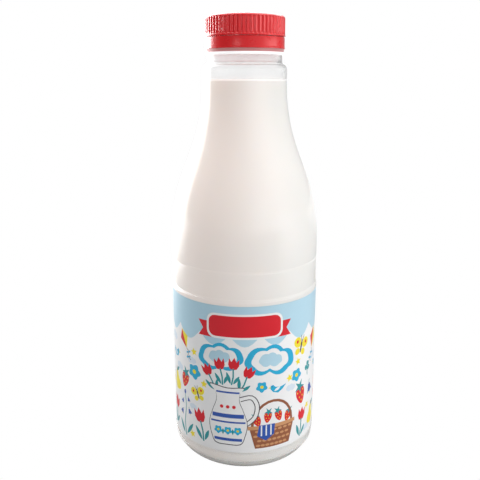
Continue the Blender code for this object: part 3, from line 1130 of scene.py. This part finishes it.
# %% Small motifs round the rest
# each entry: what it is, across, up, size, turn
STREWN = (
    # left of the still life
    (tulip, -26.5, 13, 20, 10), (butterfly, -28.5, 31.5, 11, 18), (blossom, -31, 44.5, 10, 10),
    (star, -24, 39, 5, 0), (kite, -39, 60.5, 15, 24), (star, -31, 56.5, 5, 12),
    (strawberry, -39.5, 37.5, 12, -14), (tulip, -53, 12, 19, -8), (pear, -50.5, 33, 14, 14),
    (bird, -51, 49.5, 13, 1), (strawberry, -65, 10, 12, -16), (butterfly, -63, 29, 12, -20),
    (blossom, -63, 44, 9, 0), (clover, -63, 57, 10, 10), (star, -33.5, 4.5, 5, 20),
    # right of the still life
    (butterfly, 36, 58.5, 14, -14), (strawberry, 36.5, 29, 14, 12), (tulip, 37.5, 10.5, 18, -8),
    (blossom, 32.5, 42, 8.5, 8), (clover, 43.5, 43, 10, -12), (kite, 50.5, 57, 17, -16),
    (bell_flower, 47.5, 28, 11, 12), (bird, 58, 40.5, 12, -1), (pear, 50, 11, 14, -10),
    (tulip, 62, 14, 20, 6), (star, 33.5, 50, 5, 8), (star, 44, 18.5, 5, 20),
    (blossom, 63.5, 55, 8, 0), (strawberry, 60, 28.5, 9, -8),
    (bird, 18.5, 37.5, 12, -1), (star, 27, 42, 5, 15), (blossom, 9.5, 40, 7, 0),
    # round the back
    (kite, -75.5, 60, 16, 14), (pear, -75, 37, 13, -12), (tulip, -76.5, 15, 20, 4),
    (butterfly, -87.5, 49, 13, 12), (strawberry, -87, 12, 12, 10), (clover, -88, 30, 10, -8),
    (bird, -100, 60, 13, 1), (blossom, -99, 39, 10, 12), (bell_flower, -98, 20, 12, -10),
    (star, -107, 30, 6, 0), (tulip, -110.5, 12, 19, -10), (kite, -113, 52, 17, -18),
    (strawberry, -122, 30, 12, 14), (blossom, -126.5, 60, 8, 0), (pear, -123.5, 10, 12, 8),
    (star, -126.5, 43, 5, 10), (butterfly, 75, 46, 13, 16), (clover, 75.5, 27, 11, 10),
    (star, 74, 10, 6, 0), (bird, 84, 60, 13, -1), (pear, 88, 38, 13, 14),
    (tulip, 86, 15, 21, -6), (kite, 100, 57, 16, 20), (strawberry, 99, 13, 13, -12),
    (blossom, 101, 34, 10, 0), (tulip, 112, 14, 20, 8), (butterfly, 113.5, 38, 12, -12),
    (star, 114, 57, 6, 0), (clover, 124, 28, 10, 12), (bell_flower, 124.5, 10, 11, 8),
    (pear, 125.5, 50, 12, -8),
)
for motif, across, up, size, turn in STREWN:
    motif((across, up), size, turn)
flower_spike((-40, 15.5), 29)
PALE_CLOUDS = (
    (-32.5, 22.5, 6), (-46, 43, 8), (28, 36, 7), (-33, 51, 7),
    (43.5, 5, 7), (-54, 59.5, 9), (53, 47.5, 8), (-81, 24.5, 8),
    (70, 36, 8), (-103, 49, 9), (101, 24, 9), (124, 38, 7),
)
for across, up, size in PALE_CLOUDS:
    TINT.outline(CLOUD, (across, up), 0, 0, grow=size)

# %% Roll every ink onto the bottle
print_pieces = [roll(shapes) for shapes in INKS]

# %% [markdown]
# ## Floor and light
#
# The pack stands on a pale sheet that runs into a white background, with big soft lights all round. Such
# lights can be lamps, but a lamp has a hard edge that a glossy bottle mirrors. Here they are soft patches
# painted on the world instead: a broad one high on the right, a lower one to the right of the camera, two
# faint ones in front, a bright one behind the left edge and a faint one behind the right edge. Where the
# eye looks straight at the world, or sees it through clear plastic, it is plain white.

# %% Node group: soft light patch
BLACK = (0.0, 0.0, 0.0, 1.0)
HALF_TURN = 180.0


def soft_patch():
    """Adds one patch of light to a colour, by the direction that a ray looks in."""
    angles = {"Azimuth": 0.0, "Half Width": 30.0, "Side Edge": 10.0}
    angles.update({"Height": 0.0, "Half Height": 30.0, "Top Edge": 10.0})
    inputs = {"So Far": BLACK, **angles, "Strength": 1.0}
    group, given, made = new_group("Soft light patch", inputs, {"Light": "NodeSocketColor"})
    wiring = Wiring(group)

    def window(angle, centre, half, edge):
        """One inside the patch and nought outside it, by one of its two angles."""
        offset = wiring.number("WRAP", wiring.number("SUBTRACT", angle, given[centre]), HALF_TURN, -HALF_TURN)
        low = wiring.number("SUBTRACT", given[half], given[edge])
        high = wiring.number("ADD", given[half], given[edge])
        return wiring.ranged(wiring.number("ABSOLUTE", offset), low, high, 1.0, 0.0)

    direction = wiring.add("TexCoord").outputs["Generated"]
    split = wiring.add("SeparateXYZ", {0: direction}).outputs
    towards_camera = wiring.number("MULTIPLY", split["Y"], -1.0)
    azimuth = wiring.number("DEGREES", wiring.number("ARCTAN2", split["X"], towards_camera))
    height = wiring.number("DEGREES", wiring.number("ARCSINE", split["Z"]))
    across = window(azimuth, "Azimuth", "Half Width", "Side Edge")
    upright = window(height, "Height", "Half Height", "Top Edge")
    amount = wiring.number("MULTIPLY", wiring.number("MULTIPLY", across, upright), given["Strength"])
    total = wiring.vector("ADD", {0: given["So Far"], 1: amount})["Vector"]
    wiring.feed(made, {"Light": total})
    return group


# %% World: every patch in degrees, azimuth 0 towards the camera and 90 to the right
PATCH_INPUTS = ("Azimuth", "Half Width", "Side Edge", "Height", "Half Height", "Top Edge", "Strength")
PATCHES = (
    (80, 45, 40, 50, 25, 20, 1.38),
    (40, 30, 25, 0, 25, 25, 1.11),
    (0, 45, 40, 50, 25, 20, 0.23),
    (0, 45, 40, 0, 25, 20, 0.33),
    (-145, 38, 6, 0, 50, 20, 4.40),
    (145, 38, 20, 0, 50, 20, 0.10),
)
AMBIENT = 0.377
PLAIN_WHITE = (1.0, 1.0, 1.0)
EYE_RAYS = ("Is Camera Ray", "Is Transmission Ray")


def studio_world():
    """Lights the pieces by the patches, and is white where the eye meets it, straight or through plastic."""
    world = bpy.data.worlds.new("studio")
    world.use_nodes = True
    wiring = Wiring(world.node_tree)
    patch = soft_patch()
    so_far = (AMBIENT, AMBIENT, AMBIENT)
    for numbers in PATCHES:
        so_far = wiring.group(patch, {"So Far": so_far, **dict(zip(PATCH_INPUTS, numbers))}).outputs["Light"]
    lit = world.node_tree.nodes["Background"]
    wiring.feed(lit, {"Color": so_far})
    seen = wiring.add("Background", {"Color": PLAIN_WHITE})
    wiring.surface(lit.outputs["Background"], seen.outputs["Background"], EYE_RAYS, "World Output")
    return world


bpy.context.scene.world = studio_world()
bpy.context.scene.view_settings.view_transform = "Standard"
bpy.context.scene.view_settings.look = "None"

# %% [markdown]
# The floor is white to the eye too. To everything else it is a dull grey sheet that glows in the distance
# behind the pack, most of all behind its left.

# %% Floor
FLOOR_RADIUS = 4.0
FLOOR_GREY = (0.3, 0.3, 0.3)
AWAY = (-0.30, 0.954, 0.0)
GLOW_NEAR = 0.10
GLOW_FAR = 0.70
BEHIND_LEFT = (-0.574, 0.819, 0.0)
LEFT_FROM = 0.62
LEFT_FULL = 0.85
FLOOR_ELSEWHERE = 0.6
FLOOR_BEHIND = 4.0


def floor_finish():
    made = bpy.data.materials.new("pale floor")
    made.use_nodes = True
    wiring = Wiring(made.node_tree)
    place = wiring.place()
    distance = wiring.vector("DOT_PRODUCT", {0: place, 1: AWAY})["Value"]
    glow = wiring.ranged(distance, GLOW_NEAR, GLOW_FAR)
    heading = wiring.vector("NORMALIZE", {0: place})["Vector"]
    leftness = wiring.vector("DOT_PRODUCT", {0: heading, 1: BEHIND_LEFT})["Value"]
    share = wiring.ranged(leftness, LEFT_FROM, LEFT_FULL, FLOOR_ELSEWHERE, FLOOR_BEHIND)
    wiring.feed(wiring.shader, {"Base Color": FLOOR_GREY, "Roughness": 0.9, "Emission Color": PLAIN_WHITE})
    wiring.feed(wiring.shader, {"Emission Strength": wiring.number("MULTIPLY", glow, share)})
    seen = wiring.add("Emission").outputs["Emission"]
    wiring.surface(wiring.shader.outputs["BSDF"], seen, EYE_RAYS)
    return made


floor_mesh = bmesh.new()
bmesh.ops.create_circle(floor_mesh, cap_ends=True, radius=FLOOR_RADIUS, segments=96)
bmesh.ops.translate(floor_mesh, verts=floor_mesh.verts, vec=(0, 0, -0.1 * MM))
floor = show("floor", floor_mesh, floor_finish())

# %% [markdown]
# The rest is left for real lamps, most of them linked to a few pieces. One stands low on the right, close
# enough for its light to fade with height. Four show only in the gloss of the red pieces, and draw the
# soft upright streaks and the pale upper edge of the cap. Two tint the milk, warm on its left and cooler
# on its right. Two lift the sides of the label.

# %% Lamps
def lamp(name, azimuth, height, distance, size, radiance, aim, colour, only=(), gloss=True, matt=True):
    """An area lamp, turned to a height on the axis. Azimuth 0 is the camera's side and 90 the right."""
    angle = math.radians(azimuth)
    light = bpy.data.lights.new(name, "AREA")
    light.shape = "RECTANGLE"
    light.size, light.size_y = size
    light.energy = radiance * math.pi * size[0] * size[1]
    light.color = colour
    holder = bpy.data.objects.new(name, light)
    holder.location = (distance * math.sin(angle), -distance * math.cos(angle), height)
    holder.rotation_euler = (Vector((0, 0, aim)) - holder.location).to_track_quat("-Z", "Y").to_euler()
    holder.visible_glossy = gloss
    holder.visible_diffuse = matt
    bpy.context.scene.collection.objects.link(holder)
    if only:
        lit = bpy.data.collections.new(name + " lights")
        for piece in only:
            lit.objects.link(piece)
        holder.light_linking.receiver_collection = lit


WARM = (1.0, 0.56, 0.42)
COOL = (0.6, 0.85, 1.0)
RED_PIECES = (screw_cap, opening_ring)
MILK_PIECES = (milk_fill,)
LABEL_PIECES = [label_film] + print_pieces
RED_LAMPS = (
    # name, azimuth, height, distance, size, radiance
    ("cap left", -21, 0.26, 0.6, (0.14, 0.3), 7.0),
    ("cap right", 80, 0.26, 0.6, (0.50, 0.3), 5.5),
    ("cap edge", -145, 0.26, 0.6, (0.75, 0.4), 14.0),
    ("cap top", 180, 0.80, 0.15, (1.3, 1.3), 8.0),
)
MATT_LAMPS = (
    # the same, and then what the lamp is turned to, its colour and the pieces that it lights
    ("milk warm", -40, 0.40, 0.30, (0.25, 0.25), 1.6, 0.20, WARM, MILK_PIECES),
    ("milk cool", 60, 0.06, 0.35, (0.3, 0.3), 0.35, 0.11, COOL, MILK_PIECES),
    ("label right", 70, 0.10, 0.60, (0.6, 0.6), 0.95, 0.06, PLAIN_WHITE, LABEL_PIECES),
    ("label left", -115, 0.10, 0.60, (0.6, 0.6), 0.45, 0.06, PLAIN_WHITE, LABEL_PIECES),
)
lamp("low right", 72, 0.06, 0.5, (0.35, 0.25), 2.3, 0.13, PLAIN_WHITE, gloss=False)
for numbers in RED_LAMPS:
    lamp(*numbers, 0.24, PLAIN_WHITE, RED_PIECES, matt=False)
for numbers in MATT_LAMPS:
    lamp(*numbers, gloss=False)
print("lamps:", len(bpy.data.lights))

# %% Camera
FOCAL_PIXELS = 622.1
PICTURE_PIXELS = 480
CAMERA_TILT = 14.43
camera_data = bpy.data.cameras.new("camera")
camera_data.sensor_width = 36.0
camera_data.lens = FOCAL_PIXELS / PICTURE_PIXELS * camera_data.sensor_width
camera = bpy.data.objects.new("camera", camera_data)
camera.location = (-2.6 * MM, -351.4 * MM, 217.8 * MM)
camera.rotation_euler = (math.radians(90 - CAMERA_TILT), 0.0, 0.0)
bpy.context.scene.collection.objects.link(camera)
bpy.context.scene.camera = camera
